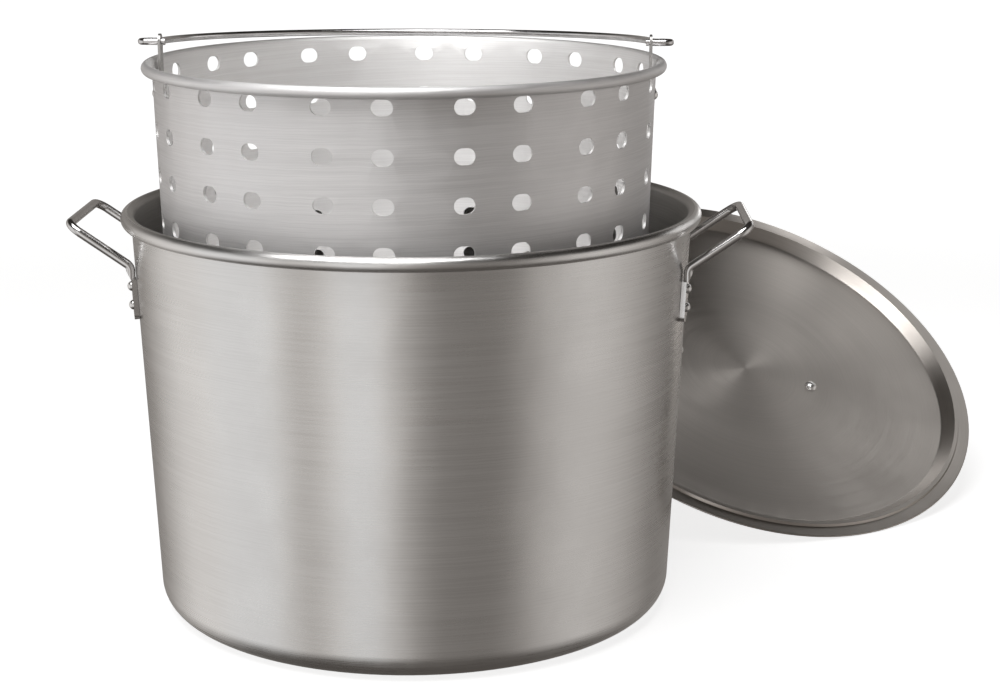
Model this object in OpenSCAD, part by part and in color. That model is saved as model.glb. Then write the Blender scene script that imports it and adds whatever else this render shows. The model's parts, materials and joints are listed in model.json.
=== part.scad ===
// Brew kettle with a raised strainer basket and a loose lid standing behind it.
// Millimetres, +Z up. Origin: centre of the kettle's base, on the floor.
// +X is the right-hand handle, -Y is the front.

/* [Kettle] */
// Outer diameter over the rolled rim of the kettle
kettle_rim_d = 584; // [560:1:600]
// Height of the kettle from the floor to the top of its rim
kettle_h = 412; // [400:1:440]
// Outer diameter of the kettle wall where it meets the floor plane
kettle_base_d = 525; // [505:1:535]
// Sheet thickness of the kettle
kettle_t = 3.5; // [2.5:0.1:4]
// Outer radius of the rolled rim's curl
kettle_curl_r = 6.9; // [6:0.1:8]
// Outside radius of the corner between wall and base
kettle_corner_r = 29; // [15:1:40]

/* [Kettle handles] */
// Diameter of the handle wire
handle_wire_d = 9; // [7:0.5:10]
// Distance between the two arms of one handle
handle_span = 138; // [110:1:150]
// Distance from the kettle's axis to the middle of the grip
handle_reach = 336; // [320:1:345]
// Height of the grip's middle
handle_grip_z = 401; // [385:1:410]
// Height of the lower end of the flattened legs
handle_leg_z = 306; // [296:1:312]
// Inside bend radius at the ends of the grip, on the wire's middle
handle_corner_r = 14; // [8:1:24]
// Diameter of the rivet shanks
rivet_d = 6; // [4:0.5:6]
// Diameter of the domed rivet heads
rivet_head_d = 10; // [8:0.5:11]

/* [Basket] */
// Outer diameter over the rolled rim of the basket
basket_rim_d = 521; // [500:1:524]
// Height of the basket
basket_h = 360; // [330:1:375]
// Outer diameter of the basket wall where it meets its base plane
basket_base_d = 478; // [450:1:484]
// Sheet thickness of the basket
basket_t = 2.5; // [2:0.1:3]
// Outer radius of the basket rim's curl
basket_curl_r = 5.5; // [5:0.1:6.5]
// Height of the basket's base above the floor, as drawn
basket_lift = 198.5; // [150:0.5:260]
// Sideways place of the basket's axis
basket_shift = -6; // [-6:0.5:3]

/* [Basket holes] */
// Width of a side hole
hole_w = 20; // [14:0.5:22]
// Height of a side hole
hole_h = 15.5; // [10:0.5:18]
// Depth of the first row below the rim's top
row_first = 19; // [18:0.5:30]
// Distance between rows
row_pitch = 44.8; // [35:0.1:48]
// Number of rows
row_count = 7; // [3:1:7]
// Number of hole pairs in a row
pair_count = 12; // [6:2:12]
// Angle between the two holes of a pair
pair_angle = 12.9; // [10:0.1:13.5]
// Angle from the front to the first pair
pair_turn = -7.5; // [-15:0.1:15]
// Diameter of the holes in the basket's base
base_hole_d = 15; // [8:1:18]

/* [Bail] */
// Diameter of the bail wire
bail_wire_d = 7; // [5:0.5:7]
// Height of the bail's pivot above the basket's rim
pivot_h = 16; // [15.5:0.5:20]
// Width of the ears that carry the bail
ear_w = 16; // [14:0.5:16]
// Thickness of the ears
ear_t = 2.5; // [2:0.1:3]

/* [Lid] */
// Diameter of the lid
lid_d = 572; // [566:1:580]
// Sheet thickness of the lid
lid_t = 2.5; // [2:0.1:3.5]
// Height of the raised panel over the flange
lid_crown_h = 10; // [8:1:18]
// Slope of the standing lid from the floor
lid_slope = 31.94; // [20:0.01:34]
// Compass angle of the lid's uphill side, from +X towards +Y
lid_turn = 120.65; // [110:0.01:130]
// Place of the lid's centre to the right of the kettle's axis
lid_x = 383.5; // [383:0.5:450]
// Place of the lid's centre behind the kettle's axis
lid_y = 400.5; // [400:0.5:450]
// Distance between the two rivets of the lid's handle
lid_rivet_span = 172; // [130:1:180]
// Turn of the lid's handle about the lid's centre
lid_handle_turn = -58; // [-180:1:180]

/* [Hidden] */
$fn = 64;
aluminium = [0.74, 0.73, 0.71];
chrome = [0.80, 0.81, 0.82];
seam = 0.05;              // gap between faces that are clamped together
lap = 0.4;                // overlap of straight wire with a bend
bend_slim = 0.1;          // by how much a bend's wire is thinner
bore_gap = 0.2;           // how much wider a rivet's hole is
cut = 1;                  // how far a cutter runs past a face
wire_gap = 0.3;           // gap between a wire and the wall beside it
arc_steps = 12;           // straight steps in a rounded corner of a sheet section
curl_steps = 26;          // straight steps round a rolled rim
curl_end = -100;          // angle at which a rolled rim's lip ends

// Kettle wall
kettle_rim_r = kettle_rim_d / 2;
kettle_base_r = kettle_base_d / 2;
kettle_wall_z = kettle_h - kettle_curl_r;
kettle_wall_r = kettle_rim_r - 2 * kettle_curl_r + kettle_t;
kettle_taper = atan((kettle_wall_r - kettle_base_r) / kettle_wall_z);
function kettle_r(z) = kettle_base_r + (kettle_wall_r - kettle_base_r) * z / kettle_wall_z;

// Kettle handles
wire_r = handle_wire_d / 2;
leg_t = 5;
leg_w = 13;
leg_len = 41.5;
leg_blend = 8;
swell_lap = 2;
swell_slope = 26;
rivet_rows = [15, 34];
knee_r = 8;
leg_top_z = handle_leg_z + leg_len;
knee_start_z = leg_top_z + leg_blend;
leg_angle = asin((handle_span / 2) / (kettle_r(knee_start_z) + wire_r));
wire_x = (kettle_r(knee_start_z) + wire_r + wire_gap) * cos(leg_angle);
arm_slope = atan2(handle_grip_z - knee_start_z - knee_r / 2, handle_reach - wire_x);
knee_turn = 90 - arm_slope;
knee_end_x = wire_x + knee_r * (1 - cos(knee_turn));
knee_end_z = knee_start_z + knee_r * sin(knee_turn);
arm_len = (handle_reach - knee_end_x) / cos(arm_slope) - handle_corner_r;
rivet_hole_d = rivet_d + bore_gap;
rivet_head_h = 0.42 * rivet_head_d;
rivet_tail_h = 1.8;

// Basket wall
basket_rim_r = basket_rim_d / 2;
basket_base_r = basket_base_d / 2;
basket_wall_z = basket_h - basket_curl_r;
basket_wall_r = basket_rim_r - 2 * basket_curl_r + basket_t / 5;
basket_corner_r = 20;
basket_taper = atan((basket_wall_r - basket_base_r) / basket_wall_z);
function basket_r(z) = basket_base_r + (basket_wall_r - basket_base_r) * z / basket_wall_z;
hole_cut_in = 25;         // how far inside the wall a hole's cutter starts
hole_cut_len = 40;
basket_ring_r = [60, 120, 180];
basket_ring_n = [6, 12, 18];

// Bail and its ears
bail_r = bail_wire_d / 2;
pivot_z = basket_h + pivot_h;
ear_inset = 4.9;          // how far the ears stand inside the rolled rim
ear_r = basket_rim_r - 2 * basket_curl_r - ear_inset;
ear_plate_drop = 46;      // from the rim's top to the foot of an ear
ear_plate_z = basket_h - ear_plate_drop;
ear_plate_h = 24;
ear_plate_w = 44;
ear_rivet_drop = 34;      // from the rim's top to an ear's rivets
ear_rivet_z = basket_h - ear_rivet_drop;
ear_rivet_y = 15;
ear_rivet_d = 5;
ear_cut = 30;             // length of the cutters through an ear and the wall
eye_r = 0.75 * bail_wire_d + 0.75;
hook_end = 268;
pin_past = 5;             // how far the pivot pin runs past an ear
pin_end = ear_r - pin_past;
arc_y = 8;
arc_reach = basket_rim_r - basket_curl_r;
bail_arc_r = arc_reach - arc_y;
hook_bend_r = 8;
hook_turn = asin((2 * eye_r + hook_bend_r - arc_y) / (bail_arc_r + hook_bend_r));
hook_x = hook_end - bail_r - eye_r;
rest_drop = asin((pivot_h - bail_r - wire_gap) / arc_reach);

// Lid
lid_r = lid_d / 2;
lid_edge_r = 1.25;
rib_out_r = 272;
rib_in_r = 266;
rib_h = 3;
rib_slope = 1.5;
crown_r = 254;
crown_bend = 1.5;         // half length of the soft bend round the raised panel
crown_flat_r = 95;
crown_rise = 5;
crown_top = lid_crown_h + crown_rise + lid_t;
lid_z = lid_r * sin(lid_slope) + lid_t * cos(lid_slope);
lid_wire_r = 4;
lid_wire_z = lid_wire_r + wire_gap;
lid_foot_t = 3;
lid_foot_w = 15;
lid_foot_reach = 30;      // from a rivet to the upright of the lid's handle
lid_leg_x = lid_rivet_span / 2 - lid_foot_reach;
lid_rivet_head_d = 15;
lid_knee_r = 8;
lid_grip_h = 44;
lid_corner_r = 14;

// Points of an arc about (x, y), from angle a0 to angle a1
function arc(x, y, r, a0, a1, n = arc_steps) =
  [for (i = [0 : n]) [x + r * cos(a0 + (a1 - a0) * i / n), y + r * sin(a0 + (a1 - a0) * i / n)]];

// Half section of a drawn pot: base, rounded corner, tapered wall and rolled rim.
// The lip of the rim curls out and down, and stays open below.
module pot_section(base_r, taper, corner_r, t, rim_r, curl_r, h, neck) {
  corner_x = base_r - corner_r * (1 - sin(taper)) / cos(taper);
  curl_x = rim_r - curl_r;
  curl_z = h - curl_r;
  neck_z = curl_z - neck;
  neck_r = base_r + neck_z * tan(taper);
  polygon(concat(
    [[0, 0]],
    arc(corner_x, corner_r, corner_r, -90, -taper),
    [[neck_r, neck_z]],
    arc(curl_x, curl_z, curl_r - t, 180, curl_end, curl_steps),
    arc(curl_x, curl_z, curl_r, curl_end, 180, curl_steps),
    [[neck_r - t / cos(taper), neck_z]],
    arc(corner_x, corner_r, corner_r - t, -taper, -90),
    [[0, t]]
  ));
}

// Points of a dome of base radius a and height h, from its edge to its top
function dome(a, h, n = 9) =
  let (ball = (a * a + h * h) / (2 * h), half = asin(a / ball))
    [for (i = [0 : n]) [ball * sin(half * (1 - i / n)), h - ball + ball * cos(half * (1 - i / n))]];

// Rivet along X: head on the plane x = 0, tail behind the clamped sheets
module rivet(d, head_d, head_h, grip) {
  tail = dome(0.75 * d, rivet_tail_h);
  rotate([0, 90, 0]) rotate_extrude() polygon(concat(
    [for (i = [len(tail) - 1 : -1 : 0]) [tail[i][0], -grip - tail[i][1]]],
    [[d / 2, -grip], [d / 2, 0]],
    dome(head_d / 2, head_h)
  ));
}

// Plate with round ends, lying on the plane x = 0, from z = 0 up
module strap(w, len, t) {
  rotate([0, 90, 0]) linear_extrude(t) {
    translate([-w / 2, 0]) circle(d = w);
    translate([-len, -w / 2]) square([len - w / 2, w]);
  }
}

// Part turn of wire. It starts at the origin heading +Z and turns towards +X.
// It is a hair thinner than the straight wire, which laps over its ends.
module wire_bend(wire, bend, turn) {
  translate([bend, 0, 0]) rotate([90, 0, 0]) rotate_extrude(angle = turn, start = 180 - turn)
    translate([bend, 0]) circle(r = wire - bend_slim);
}

// Straight wire from the origin along +Z, lapping over the bends at its ends
module wire_run(wire, len, lap_start = lap, lap_end = lap) {
  translate([0, 0, -lap_start]) cylinder(r = wire, h = len + lap_start + lap_end);
}

// Stands a child on the outside of the kettle wall at one leg of a handle.
// side: -1 left, 1 right. leg: -1 front, 1 rear
module at_leg(side, leg) {
  rotate([0, 0, side > 0 ? leg * leg_angle : 180 - leg * leg_angle])
    translate([kettle_r(handle_leg_z), 0, handle_leg_z])
      rotate([0, kettle_taper, 0])
        children();
}

module rivet_bore(d, len) {
  rotate([0, 90, 0]) cylinder(d = d, h = len, center = true);
}

module kettle_shell() {
  color(aluminium) difference() {
    rotate_extrude($fn = 180)
      pot_section(kettle_base_r, kettle_taper, kettle_corner_r, kettle_t,
                  kettle_rim_r, kettle_curl_r, kettle_h, 2);
    for (side = [-1, 1], leg = [-1, 1], z = rivet_rows)
      at_leg(side, leg) translate([0, 0, z]) rivet_bore(rivet_hole_d, 6 * kettle_t);
  }
}

// Half of a kettle handle: the arm and its leg on one side of the plane y = 0
module handle_half(leg) {
  arm_y = leg * handle_span / 2;
  // Flattened leg, riveted to the wall
  at_leg(1, leg) difference() {
    translate([seam, 0, 0]) strap(leg_w, leg_len, leg_t);
    for (z = rivet_rows) translate([0, 0, z]) rivet_bore(rivet_hole_d, 4 * leg_t);
  }
  // The wire swells from the flat leg to its round section
  difference() {
    translate([wire_x, arm_y, leg_top_z - swell_lap])
      wire_run(wire_r, knee_start_z - leg_top_z + swell_lap, 0);
    rotate([0, 0, leg * leg_angle])
      translate([kettle_r(leg_top_z) + leg_t, -leg_w, leg_top_z - swell_lap])
        rotate([0, swell_slope, 0]) translate([0, 0, -leg_w]) cube([leg_w, 2 * leg_w, 3 * leg_w]);
  }
  // Knee, sloping arm and corner
  translate([wire_x, arm_y, knee_start_z]) wire_bend(wire_r, knee_r, knee_turn);
  translate([knee_end_x, arm_y, knee_end_z]) rotate([0, knee_turn, 0]) {
    wire_run(wire_r, arm_len);
    translate([0, 0, arm_len]) rotate([0, 0, -leg * 90]) wire_bend(wire_r, handle_corner_r, 90);
  }
}

module kettle_handle(side) {
  grip_len = handle_span - 2 * handle_corner_r;
  grip_x = knee_end_x + (arm_len + handle_corner_r) * cos(arm_slope);
  grip_z = knee_end_z + (arm_len + handle_corner_r) * sin(arm_slope);
  color(chrome) rotate([0, 0, side > 0 ? 0 : 180]) {
    for (leg = [-1, 1]) handle_half(leg);
    translate([grip_x, grip_len / 2, grip_z]) rotate([90, 0, 0]) wire_run(wire_r, grip_len);
  }
}

module handle_rivet(side, leg, row) {
  color(chrome) at_leg(side, leg) translate([leg_t + 2 * seam, 0, rivet_rows[row]])
    rivet(rivet_d, rivet_head_d, rivet_head_h, leg_t + kettle_t + 5 * seam);
}

// Places a child in the basket's own frame: origin at the centre of its base
module at_basket() {
  translate([basket_shift, 0, basket_lift]) children();
}

// Cutter for one oval hole in the front of the basket's wall
module hole_cutter() {
  flat = (hole_w - hole_h) / 2;
  translate([0, hole_cut_in - basket_wall_r, 0]) rotate([90, 0, 0]) linear_extrude(hole_cut_len) {
    for (s = [-1, 1]) translate([s * flat, 0]) circle(d = hole_h, $fn = 40);
    square([2 * flat, hole_h], center = true);
  }
}

module basket_shell() {
  color(aluminium) at_basket() difference() {
    rotate_extrude($fn = 180)
      pot_section(basket_base_r, basket_taper, basket_corner_r, basket_t,
                  basket_rim_r, basket_curl_r, basket_h, 8);
    for (row = [0 : row_count - 1], pair = [0 : pair_count - 1], s = [-0.5, 0.5])
      rotate([0, 0, pair_turn + pair * 360 / pair_count + s * pair_angle])
        translate([0, 0, basket_h - row_first - row * row_pitch]) hole_cutter();
    for (ring = [0 : len(basket_ring_r) - 1], i = [0 : basket_ring_n[ring] - 1])
      rotate([0, 0, i * 360 / basket_ring_n[ring]])
        translate([basket_ring_r[ring], 0, -cut]) cylinder(d = base_hole_d, h = basket_t + 2 * cut);
    translate([0, 0, -cut]) cylinder(d = base_hole_d, h = basket_t + 2 * cut);
    for (side = [-1, 1], s = [-1, 1])
      at_ear_rivet(side, s) rivet_bore(ear_rivet_d + bore_gap, ear_cut);
  }
}

// Ear frame: +X points out through the basket wall at one end of the bail's pivot
module at_ear(side) {
  rotate([0, 0, side > 0 ? 0 : 180]) children();
}

// Rivet frame on the outside of the basket's wall. s: -1 or 1, either side of the ear
module at_ear_rivet(side, s) {
  rotate([0, 0, (side > 0 ? 0 : 180) + s * asin(ear_rivet_y / basket_r(ear_rivet_z))])
    translate([basket_r(ear_rivet_z), 0, ear_rivet_z]) rotate([0, basket_taper, 0]) children();
}

module basket_ear(side) {
  plate_top_z = ear_plate_z + ear_plate_h;
  color(aluminium) at_basket() difference() {
    at_ear(side) {
      // Foot inside the wall, curved to it
      intersection() {
        difference() {
          translate([0, 0, ear_plate_z])
            cylinder(r1 = basket_r(ear_plate_z) - basket_t - 2 * seam,
                     r2 = basket_r(plate_top_z) - basket_t - 2 * seam, h = ear_plate_h, $fn = 180);
          translate([0, 0, ear_plate_z - cut]) cylinder(r = ear_r, h = ear_plate_h + 2 * cut, $fn = 180);
        }
        translate([ear_r - ear_cut / 2, -ear_plate_w / 2, ear_plate_z])
          cube([ear_cut, ear_plate_w, ear_plate_h]);
      }
      // Upright strap with a round top
      translate([ear_r - ear_t / 2, 0, 0]) {
        translate([0, -ear_w / 2, ear_plate_z]) cube([ear_t, ear_w, pivot_z - ear_plate_z]);
        translate([0, 0, pivot_z]) rotate([0, 90, 0]) cylinder(d = ear_w, h = ear_t);
      }
    }
    at_ear(side) translate([ear_r, 0, pivot_z]) rivet_bore(bail_wire_d + bore_gap, ear_cut);
    for (s = [-1, 1]) at_ear_rivet(side, s) rivet_bore(ear_rivet_d + bore_gap, ear_cut);
  }
}

module ear_rivet(side, s) {
  grip = basket_r(ear_rivet_z) - ear_r + 3 * seam;
  color(chrome) at_basket() at_ear_rivet(side, s) translate([seam, 0, 0])
    rivet(ear_rivet_d, rivet_head_d, 0.3 * rivet_head_d, grip);
}

// One end of the bail: it bends outwards past the ear and doubles back as the pivot pin
module bail_hook() {
  bend_x = (bail_arc_r + hook_bend_r) * cos(hook_turn);
  translate([bend_x, 2 * eye_r + hook_bend_r, 0])
    rotate_extrude(angle = 90 - hook_turn, start = 180 + hook_turn)
      translate([hook_bend_r, 0]) circle(r = bail_r - bend_slim);
  translate([bend_x, 2 * eye_r, 0]) rotate([0, 90, 0]) wire_run(bail_r, hook_x - bend_x);
  translate([hook_x, eye_r, 0]) rotate_extrude(angle = 180, start = -90)
    translate([eye_r, 0]) circle(r = bail_r - bend_slim);
  translate([pin_end, 0, 0]) rotate([0, 90, 0]) wire_run(bail_r, hook_x - pin_end, 0);
}

module basket_bail() {
  lap_angle = asin(lap / bail_arc_r);
  color(chrome) at_basket() translate([0, 0, pivot_z]) rotate([-rest_drop, 0, 0]) {
    translate([0, arc_y, 0])
      rotate_extrude(angle = 180 - 2 * hook_turn + 2 * lap_angle, start = hook_turn - lap_angle, $fn = 180)
        translate([bail_arc_r, 0]) circle(r = bail_r);
    bail_hook();
    mirror([1, 0, 0]) bail_hook();
  }
}

// Lid frame: origin at the flange's centre, +Z out of the lid's top.
// The lid stands on its edge with its underside up and to the front
module at_lid() {
  translate([lid_x, lid_y, lid_z]) rotate([0, 0, lid_turn]) rotate([0, 180 - lid_slope, 0])
    children();
}

module lid_section() {
  step_angle = atan2(lid_crown_h + rib_h, rib_in_r - crown_r);
  step_mitre = lid_t * tan(step_angle / 2);
  rib_mitre = lid_t * tan(atan2(rib_h, rib_slope) / 2);
  bend_x = crown_bend * cos(step_angle);
  bend_z = crown_bend * sin(step_angle);
  polygon(concat(
    [[0, crown_top - lid_t], [crown_flat_r, crown_top - lid_t]],
    [[crown_r - crown_bend, lid_crown_h], [crown_r + bend_x, lid_crown_h - bend_z]],
    [[rib_in_r, -rib_h], [rib_out_r - rib_slope, -rib_h], [rib_out_r, 0]],
    arc(lid_r - lid_edge_r, lid_edge_r, lid_edge_r, -90, 90, 8),
    [[rib_out_r - rib_mitre, lid_t], [rib_out_r - rib_slope - rib_mitre, lid_t - rib_h]],
    [[rib_in_r + step_mitre, lid_t - rib_h]],
    [[crown_r + step_mitre + bend_x, lid_crown_h + lid_t - bend_z]],
    [[crown_r + step_mitre - crown_bend, lid_crown_h + lid_t]],
    [[crown_flat_r, crown_top], [0, crown_top]]
  ));
}

module at_lid_rivet(end) {
  at_lid() rotate([0, 0, lid_handle_turn]) translate([end * lid_rivet_span / 2, 0, 0])
    children();
}

module lid_shell() {
  color(aluminium) difference() {
    at_lid() rotate_extrude($fn = 180) lid_section();
    for (end = [-1, 1]) at_lid_rivet(end) cylinder(d = rivet_hole_d, h = 4 * crown_top, center = true);
  }
}

// Half of the lid's handle. x grows from the middle of the grip to the foot's tip
module lid_handle_half() {
  foot_x = lid_leg_x + lid_knee_r + leg_blend;
  foot_len = lid_rivet_span / 2 + lid_foot_w / 2 - foot_x;
  wire_end = foot_x + 2 * swell_lap;
  // Flat foot, riveted to the lid
  difference() {
    translate([foot_x + foot_len, 0, seam]) rotate([0, -90, 0]) strap(lid_foot_w, foot_len, lid_foot_t);
    translate([lid_rivet_span / 2, 0, 0]) cylinder(d = rivet_hole_d, h = 4 * lid_foot_t, center = true);
  }
  // The wire runs into the foot, cut down to it by a slope
  difference() {
    translate([wire_end, 0, lid_wire_z]) rotate([0, -90, 0])
      wire_run(lid_wire_r, wire_end - lid_leg_x - lid_knee_r, 0);
    translate([wire_end, -lid_foot_w / 2, lid_foot_t - 4 * seam]) rotate([0, swell_slope, 0])
      translate([-2 * lid_foot_w, 0, 0]) cube([3 * lid_foot_w, lid_foot_w, lid_foot_w]);
  }
  // Knee, leg and corner
  translate([lid_leg_x + lid_knee_r, 0, lid_wire_z]) rotate([0, -90, 0])
    wire_bend(lid_wire_r, lid_knee_r, 90);
  translate([lid_leg_x, 0, lid_wire_z + lid_knee_r]) {
    leg_h = lid_grip_h - lid_corner_r - lid_knee_r;
    wire_run(lid_wire_r, leg_h);
    translate([0, 0, leg_h]) rotate([0, 0, 180]) wire_bend(lid_wire_r, lid_corner_r, 90);
  }
}

module lid_handle() {
  color(chrome) at_lid() rotate([0, 0, lid_handle_turn]) translate([0, 0, crown_top]) {
    for (turn = [0, 180]) rotate([0, 0, turn]) lid_handle_half();
    translate([lid_corner_r - lid_leg_x, 0, lid_wire_z + lid_grip_h]) rotate([0, 90, 0])
      wire_run(lid_wire_r, 2 * (lid_leg_x - lid_corner_r));
  }
}

module lid_rivet(end) {
  color(chrome) at_lid_rivet(end) translate([0, 0, crown_top - lid_t - seam]) rotate([0, 90, 0])
    rivet(rivet_d, lid_rivet_head_d, 0.36 * lid_rivet_head_d, lid_t + lid_foot_t + 4 * seam);
}

kettle_shell();
kettle_handle(-1);  // kettle_handle_left
kettle_handle(1);  // kettle_handle_right
handle_rivet(-1, -1, 1);  // rivet_left_front_top
handle_rivet(-1, -1, 0);  // rivet_left_front_low
handle_rivet(-1, 1, 1);  // rivet_left_rear_top
handle_rivet(-1, 1, 0);  // rivet_left_rear_low
handle_rivet(1, -1, 1);  // rivet_right_front_top
handle_rivet(1, -1, 0);  // rivet_right_front_low
handle_rivet(1, 1, 1);  // rivet_right_rear_top
handle_rivet(1, 1, 0);  // rivet_right_rear_low
basket_shell();
basket_ear(-1);  // basket_ear_left
basket_ear(1);  // basket_ear_right
ear_rivet(-1, 1);  // ear_rivet_left_front
ear_rivet(-1, -1);  // ear_rivet_left_rear
ear_rivet(1, -1);  // ear_rivet_right_front
ear_rivet(1, 1);  // ear_rivet_right_rear
basket_bail();
lid_shell();
lid_handle();
lid_rivet(1);  // lid_rivet_near
lid_rivet(-1);  // lid_rivet_far
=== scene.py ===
"""Brew kettle with a raised perforated basket and its lid, in a plain white studio."""

import json
import math

import bpy
from mathutils import Matrix, Vector


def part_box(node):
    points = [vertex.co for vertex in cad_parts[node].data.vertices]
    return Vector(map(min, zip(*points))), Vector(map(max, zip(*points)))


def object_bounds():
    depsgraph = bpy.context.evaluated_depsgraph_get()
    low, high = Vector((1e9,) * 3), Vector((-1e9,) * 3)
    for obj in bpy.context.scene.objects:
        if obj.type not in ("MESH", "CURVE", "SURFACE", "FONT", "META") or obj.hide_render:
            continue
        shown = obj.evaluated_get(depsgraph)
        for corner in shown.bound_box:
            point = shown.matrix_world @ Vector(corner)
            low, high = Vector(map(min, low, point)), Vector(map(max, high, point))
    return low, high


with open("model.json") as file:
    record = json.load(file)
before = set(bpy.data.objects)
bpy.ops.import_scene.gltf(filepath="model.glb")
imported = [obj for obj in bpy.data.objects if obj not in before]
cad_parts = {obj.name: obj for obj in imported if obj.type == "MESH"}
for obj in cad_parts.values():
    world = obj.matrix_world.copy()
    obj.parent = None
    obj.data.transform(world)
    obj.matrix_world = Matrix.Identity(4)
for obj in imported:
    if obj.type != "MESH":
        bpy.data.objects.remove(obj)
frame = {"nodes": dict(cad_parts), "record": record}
cad_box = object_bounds()

nodes = frame["nodes"]
slots = {s["node"]: s["material_slot"] for s in frame["record"]["subparts"]}

# Main sizes, from the frame
kettle_low, kettle_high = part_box("kettle_shell")
RIM_R = (kettle_high.x - kettle_low.x) / 2
AXIS = Vector(((kettle_low.x + kettle_high.x) / 2, (kettle_low.y + kettle_high.y) / 2, 0))
SIZE = (cad_box[1] - cad_box[0]).length


# ---------------------------------------------------------------- node helpers


class Graph:
    """A node tree that is built by calls: each call adds a node and returns its output."""

    def __init__(self, tree):
        self.tree = tree
        tree.nodes.clear()

    def add(self, kind, out=0, settings=None, **inputs):
        node = self.tree.nodes.new(kind)
        for name, value in (settings or {}).items():
            setattr(node, name, value)
        for name, value in inputs.items():
            key = int(name[1:]) if name[0] == "i" and name[1:].isdigit() else name.replace("_", " ")
            self.plug(node.inputs[key], value)
        return node.outputs[out] if len(node.outputs) else node

    def plug(self, socket, value):
        if isinstance(value, bpy.types.NodeSocket):
            self.tree.links.new(value, socket)
        else:
            socket.default_value = value

    def math(self, operation, a, b=0.0):
        return self.add("ShaderNodeMath", settings={"operation": operation}, i0=a, i1=b)

    def vector(self, operation, a, b=(0, 0, 0), out=0):
        return self.add("ShaderNodeVectorMath", out, {"operation": operation}, i0=a, i1=b)

    def noise(self, vector, scale, detail=2.0, roughness=0.5):
        return self.add(
            "ShaderNodeTexNoise", Vector=vector, Scale=scale, Detail=detail, Roughness=roughness
        )

    def span(self, value, low, high, to_low=0.0, to_high=1.0):
        """value, from low..high to to_low..to_high, with soft ends."""
        return self.add(
            "ShaderNodeMapRange", settings={"interpolation_type": "SMOOTHSTEP"},
            Value=value, From_Min=low, From_Max=high, To_Min=to_low, To_Max=to_high,
        )

    def blend(self, share, a, b):
        return self.add(
            "ShaderNodeMix", 2, {"data_type": "RGBA"}, i0=share, i6=(*a, 1.0), i7=(*b, 1.0)
        )


def new_material(name):
    material = bpy.data.materials.new(name)
    material.use_nodes = True
    return material, Graph(material.node_tree)


def finish_material(graph, **inputs):
    shader = graph.add("ShaderNodeBsdfPrincipled", **inputs)
    graph.add("ShaderNodeOutputMaterial", Surface=shader)


# ------------------------------------------------------------------- materials

SLANT = 0.83  # how much height counts in the distance across the grain
GRAIN_EDGES = (0.36, 0.64)  # noise between which a streak goes from dark to light
ROUGH_SWING = 0.04  # by how much streaks vary the roughness
SMUDGE_SWING = 0.03  # by how much smudges vary it
QUARTER_TURN = 0.25  # anisotropic rotation, in turns


def turned_sheet(
    name, tones, rough, anisotropic, inside_painted_shading_tones=None, inner_rough=None,
    home=Matrix.Identity(4), grain=850, relief=0.12,
):
    """Brushed aluminium sheet, worked on a lathe: the grain runs in circles about the Z axis of
    home, a frame on the object. tones are its darker and lighter colour. The faces towards the
    axis can take other tones, inside_painted_shading_tones: painted light where these are paler
    and painted shade where they are darker. These faces can also be duller, by inner_rough,
    because the inside isn't polished."""
    material, g = new_material(name)
    place = g.add("ShaderNodeTexCoord", 3)
    back = home.inverted()
    own = g.add(
        "ShaderNodeMapping", Vector=place,
        Location=back.to_translation(), Rotation=back.to_euler(),
    )
    split = g.add("ShaderNodeSeparateXYZ", Vector=own).node
    x, y, z = split.outputs
    flat = g.add("ShaderNodeCombineXYZ", X=x, Y=y)
    radius = g.vector("LENGTH", flat, out=1)
    across = g.math("ADD", radius, g.math("MULTIPLY", z, SLANT))

    def rings(along, pitch):
        """Coordinates that change slowly round the axis and fast across the grain."""
        spread = g.vector("MULTIPLY", flat, (along, along, 0))
        line = g.add("ShaderNodeCombineXYZ", Z=g.math("MULTIPLY", across, pitch))
        return g.vector("ADD", spread, line)

    fine = g.noise(rings(9, grain), 1.0, 3.0, 0.65)
    bands = g.noise(rings(3, grain / 7), 1.0, 2.0)
    smudges = g.noise(place, 9.0, 5.0, 0.6)
    waves = g.noise(place, 5.5, 1.0)
    streaks = g.math("ADD", g.math("MULTIPLY", fine, 0.75), g.math("MULTIPLY", bands, 0.25))

    colour = g.blend(g.span(streaks, *GRAIN_EDGES), *tones)
    roughness = g.math(
        "ADD", g.span(streaks, 0.35, 0.65, rough - ROUGH_SWING, rough + ROUGH_SWING),
        g.span(smudges, 0.35, 0.65, -SMUDGE_SWING, SMUDGE_SWING),
    )
    if inside_painted_shading_tones:
        out = g.vector("DOT_PRODUCT", g.add("ShaderNodeTexCoord", 1), flat, out=1)
        inner = g.math("LESS_THAN", out, 0.0)
        # Inside faces take the other tones: painted light where they are paler, painted shade where
        # they are darker
        inside_painted_colour = g.blend(g.span(streaks, *GRAIN_EDGES), *inside_painted_shading_tones)
        colour = g.add(
            "ShaderNodeMix", 2, {"data_type": "RGBA"}, i0=inner, i6=colour, i7=inside_painted_colour)
        more = g.math("MULTIPLY", inner, inner_rough - rough)
        roughness = g.math("ADD", roughness, more)
    soft = g.add("ShaderNodeBump", Strength=0.12, Distance=0.004, Height=waves)
    bump = g.add("ShaderNodeBump", Strength=relief, Distance=0.0003, Height=fine, Normal=soft)
    # Round the axis, in the object's own space. A quarter turn from it, across the grain,
    # is the way that highlights are drawn out
    turn = g.add("ShaderNodeCombineXYZ", X=g.math("MULTIPLY", y, -1.0), Y=x)
    tangent = g.add(
        "ShaderNodeMapping", settings={"vector_type": "VECTOR"},
        Vector=turn, Rotation=home.to_euler(),
    )
    finish_material(
        g, Base_Color=colour, Metallic=1.0, Roughness=roughness,
        Anisotropic=anisotropic, Anisotropic_Rotation=QUARTER_TURN, Normal=bump, Tangent=tangent,
    )
    return material


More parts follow.
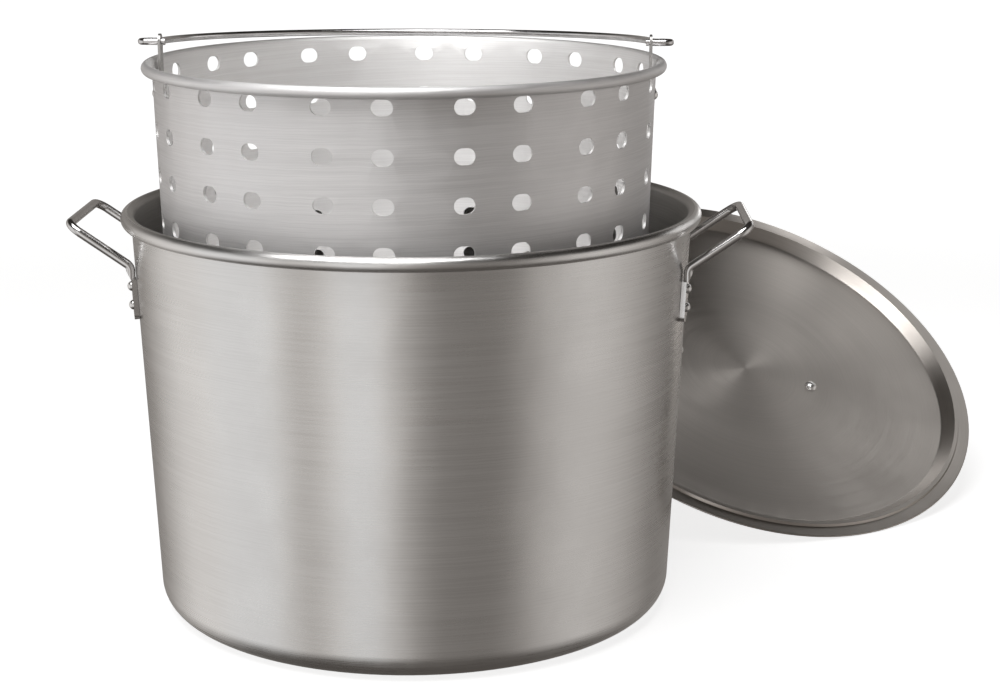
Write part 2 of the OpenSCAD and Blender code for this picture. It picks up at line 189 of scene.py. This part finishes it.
def drawn_wire(name, tones, rough):
    """Bright drawn wire with faint scratches and a little haze."""
    material, g = new_material(name)
    place = g.add("ShaderNodeTexCoord", 3)
    haze = g.noise(place, 38.0, 4.0, 0.6)
    scratches = g.noise(g.vector("MULTIPLY", place, (60, 900, 900)), 1.0, 2.0, 0.6)
    colour = g.blend(g.span(haze, 0.35, 0.65), *tones)
    roughness = g.math(
        "ADD", g.span(haze, 0.35, 0.7, rough, rough + 0.05),
        g.span(scratches, 0.5, 0.75, 0.0, 0.04),
    )
    bump = g.add("ShaderNodeBump", Strength=0.03, Distance=0.0002, Height=haze)
    finish_material(g, Base_Color=colour, Metallic=1.0, Roughness=roughness, Normal=bump)
    return material


def rivet_metal(name, tones, rough):
    """Pressed aluminium head: satin, with small marks from the rivet set."""
    material, g = new_material(name)
    place = g.add("ShaderNodeTexCoord", 3)
    marks = g.add("ShaderNodeTexVoronoi", Vector=place, Scale=420.0)
    grime = g.noise(place, 160.0, 4.0, 0.6)
    colour = g.blend(g.span(grime, 0.3, 0.7), *tones)
    roughness = g.span(grime, 0.3, 0.7, rough - 0.06, rough + 0.08)
    bump = g.add("ShaderNodeBump", Strength=0.15, Distance=0.0004, Height=marks)
    finish_material(g, Base_Color=colour, Metallic=1.0, Roughness=roughness, Normal=bump)
    return material


def lid_frame():
    """Frame on the lid: origin midway between its rivets, Z square to its flat panel."""
    ends = [sum(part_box(n), Vector()) / 2 for n in ("lid_rivet_near", "lid_rivet_far")]
    areas = {}
    for face in nodes["lid_shell"].data.polygons:
        key = tuple(round(v, 3) for v in face.normal)
        areas[key] = areas.get(key, 0) + face.area
    up = Vector(max(areas, key=areas.get)).normalized()
    along = (ends[0] - ends[1]).normalized()
    side = up.cross(along).normalized()
    along = side.cross(up)
    turn = Matrix((along, side, up)).transposed()
    return Matrix.Translation((ends[0] + ends[1]) / 2) @ turn.to_4x4()


# One material for each slot: its two tones, its roughness and how far the grain draws highlights.
# The kettle and basket also take inside tones, painted shade inside the kettle and painted light
# inside the basket, and an inside roughness
MATERIALS = {
    "kettle_aluminium": turned_sheet(
        "Kettle aluminium", ((0.65, 0.64, 0.63), (0.73, 0.72, 0.71)), 0.30, 0.8,
        # Darker inside tones: painted shade inside the kettle
        ((0.50, 0.49, 0.475), (0.58, 0.57, 0.555)), 0.42, relief=0.06),
    "basket_aluminium": turned_sheet(
        "Basket aluminium", ((0.76, 0.75, 0.75), (0.85, 0.84, 0.84)), 0.60, 0.45,
        # Paler inside tones: painted light inside the basket
        ((0.90, 0.89, 0.885), (0.96, 0.955, 0.95)), 0.66, relief=0.12),
    "ear_aluminium": turned_sheet(
        "Ear aluminium", ((0.42, 0.41, 0.40), (0.54, 0.53, 0.52)), 0.38, 0.4),
    "lid_aluminium": turned_sheet(
        "Lid aluminium", ((0.465, 0.435, 0.405), (0.505, 0.47, 0.44)), 0.35, 0.74,
        home=lid_frame(), relief=0.05),
    "handle_wire": drawn_wire("Handle wire", ((0.56, 0.55, 0.545), (0.66, 0.65, 0.645)), 0.14),
    "bail_wire": drawn_wire("Bail wire", ((0.56, 0.55, 0.55), (0.66, 0.65, 0.65)), 0.15),
    "lid_handle_wire": drawn_wire(
        "Lid handle wire", ((0.70, 0.70, 0.71), (0.83, 0.83, 0.84)), 0.12),
    "rivet_metal": rivet_metal("Rivet metal", ((0.62, 0.61, 0.60), (0.78, 0.77, 0.76)), 0.26),
    "ear_rivet_metal": rivet_metal(
        "Ear rivet metal", ((0.66, 0.65, 0.64), (0.80, 0.79, 0.78)), 0.28),
    "lid_rivet_metal": rivet_metal(
        "Lid rivet metal", ((0.74, 0.73, 0.72), (0.88, 0.87, 0.86)), 0.32),
}

WELD = 1e-5  # m: the mesh's points at a CAD face's edge are double
CREASE = math.radians(32)  # edges sharper than this stay sharp

for name, piece in nodes.items():
    piece.data.materials.clear()
    piece.data.materials.append(MATERIALS[slots[name]])
    piece.modifiers.new("Weld", "WELD").merge_threshold = WELD
    piece.modifiers.new("Crease", "EDGE_SPLIT").split_angle = CREASE
    piece.modifiers.new("Smooth", "WEIGHTED_NORMAL")


# ---------------------------------------------------------------------- studio


FLOOR_REACH = 12 * SIZE  # half the floor's side
FADE_FROM, FADE_TO = 0.8 * SIZE, 2.2 * SIZE  # where the floor turns to pure white
FLOOR_GLOW = 0.78  # the floor's own light, which keeps shadows faint
FAR_GLOW = 1.1


def make_floor():
    """White floor that fades to pure white away from the object."""
    reach = FLOOR_REACH
    corners = [(x * reach, y * reach, 0) for x, y in ((-1, -1), (1, -1), (1, 1), (-1, 1))]
    mesh = bpy.data.meshes.new("Floor")
    mesh.from_pydata(corners, [], [(0, 1, 2, 3)])
    floor = bpy.data.objects.new("Floor", mesh)
    bpy.context.scene.collection.objects.link(floor)
    floor.visible_glossy = False
    material, g = new_material("Floor paper")
    place = g.add("ShaderNodeTexCoord", 3)
    far = g.span(g.vector("LENGTH", place, out=1), FADE_FROM, FADE_TO)
    tooth = g.noise(place, 300.0, 3.0)
    paper = g.add(
        "ShaderNodeBsdfDiffuse",
        Color=g.blend(tooth, (0.50, 0.50, 0.50), (0.54, 0.54, 0.54)),
    )
    glow = g.add("ShaderNodeEmission", Strength=FLOOR_GLOW)
    near = g.add("ShaderNodeAddShader", i0=paper, i1=glow)
    white = g.add("ShaderNodeEmission", Strength=FAR_GLOW)
    surface = g.add("ShaderNodeMixShader", i0=far, i1=near, i2=white)
    g.add("ShaderNodeOutputMaterial", Surface=surface)
    mesh.materials.append(material)


# Brightness of the studio round the object, at its height: compass angle in degrees
# from the front (positive to the right) and radiance
STUDIO = (
    (-180, 0.32), (-155, 0.28), (-138, 0.42), (-115, 0.84), (-93, 0.98), (-71, 1.20), (-58, 1.04),
    (-46, 0.68), (-34, 0.82), (-23, 1.08), (-12, 1.02), (-1, 0.60), (10, 0.33), (21, 0.27),
    (43, 0.30), (55, 0.52), (67, 0.68), (80, 0.74), (95, 0.66), (111, 0.48), (132, 0.26),
    (155, 0.28),
)
# Light from overhead and from below, and the heights (sines) where the ring fades into them
CEILING = (0.032, 0.029, 0.026)
GROUND = (0.10, 0.09, 0.082)
CEILING_FADE = (0.20, 0.58)
GROUND_FADE = (-0.45, -0.80)


def tinted(light):
    """Neutral where the studio is bright and warm where it is dark."""
    return light, light * (0.92 + 0.06 * light), light * (0.85 + 0.11 * light)


def make_world():
    """Studio that only reflections and soft light see. The camera sees white."""
    world = bpy.data.worlds.new("Studio")
    world.use_nodes = True
    bpy.context.scene.world = world
    g = Graph(world.node_tree)
    way = g.add("ShaderNodeTexCoord", 0)
    split = g.add("ShaderNodeSeparateXYZ", Vector=way).node
    x, y, z = split.outputs
    compass = g.math("ARCTAN2", x, g.math("MULTIPLY", y, -1.0))
    turn = g.add(
        "ShaderNodeMapRange", Value=compass, From_Min=-math.pi, From_Max=math.pi,
        To_Min=0.0, To_Max=1.0,
    )
    ramp = g.add("ShaderNodeValToRGB", Fac=turn).node
    stops = ramp.color_ramp.elements
    while len(stops) < len(STUDIO):
        stops.new(0.5)
    for stop, (angle, light) in zip(stops, STUDIO):
        stop.position = (angle + 180) / 360
        stop.color = (*tinted(light), 1)
    ramp.color_ramp.interpolation = "CARDINAL"
    low = g.add(
        "ShaderNodeMix", 2, {"data_type": "RGBA"}, i0=g.span(z, *GROUND_FADE),
        i6=ramp.outputs[0], i7=(*GROUND, 1.0),
    )
    sky = g.add(
        "ShaderNodeMix", 2, {"data_type": "RGBA"}, i0=g.span(z, *CEILING_FADE),
        i6=low, i7=(*CEILING, 1.0),
    )
    studio = g.add("ShaderNodeBackground", Color=sky, Strength=1.0)
    white = g.add("ShaderNodeBackground", Color=(1, 1, 1, 1), Strength=1.0)
    seen = g.add("ShaderNodeLightPath", 0)
    both = g.add("ShaderNodeMixShader", i0=seen, i1=studio, i2=white)
    g.add("ShaderNodeOutputWorld", Surface=both)


def softbox(name, place, target, width, tall, power):
    """Area light. Its place, the point it faces and its size are in rim radii from the
    kettle's foot. The camera doesn't see it."""
    light = bpy.data.lights.new(name, "AREA")
    light.shape = "RECTANGLE"
    light.size, light.size_y = width * RIM_R, tall * RIM_R
    light.energy = power
    lamp = bpy.data.objects.new(name, light)
    lamp.location = AXIS + RIM_R * Vector(place)
    lamp.rotation_mode = "QUATERNION"
    lamp.rotation_quaternion = (Vector(target) - Vector(place)).to_track_quat("-Z", "Y")
    lamp.visible_camera = False
    bpy.context.scene.collection.objects.link(lamp)


# Camera: place in rim radii from the kettle's foot, tilt and pan in radians
CAMERA_AT = (0.4634, -7.263, 2.642)
CAMERA_TILT = 0.2334
CAMERA_PAN = 0.0220
CAMERA_LENS = 76.35  # mm, on a sensor 36 mm wide


def make_camera():
    data = bpy.data.cameras.new("Camera")
    data.sensor_width = 36
    data.lens = CAMERA_LENS
    data.clip_start, data.clip_end = 0.05, 200
    camera = bpy.data.objects.new("Camera", data)
    camera.location = AXIS + RIM_R * Vector(CAMERA_AT)
    camera.rotation_euler = (math.pi / 2 - CAMERA_TILT, 0, CAMERA_PAN)
    bpy.context.scene.collection.objects.link(camera)
    bpy.context.scene.camera = camera


make_floor()
make_world()
softbox("Top softbox", (-1.2, -2.2, 7.5), (0, 0.2, 1.6), 6, 6, 42)
softbox("Back softbox", (1.9, 2.8, 1.5), (1.4, 1.9, 0.75), 0.6, 0.5, 0.13)
softbox("Side softbox", (3.6, 3.0, 2.5), (2.2, 1.8, 0.5), 2, 2, 0.75)
make_camera()
bpy.context.scene.view_settings.view_transform = "Standard"
bpy.context.scene.view_settings.look = "None"
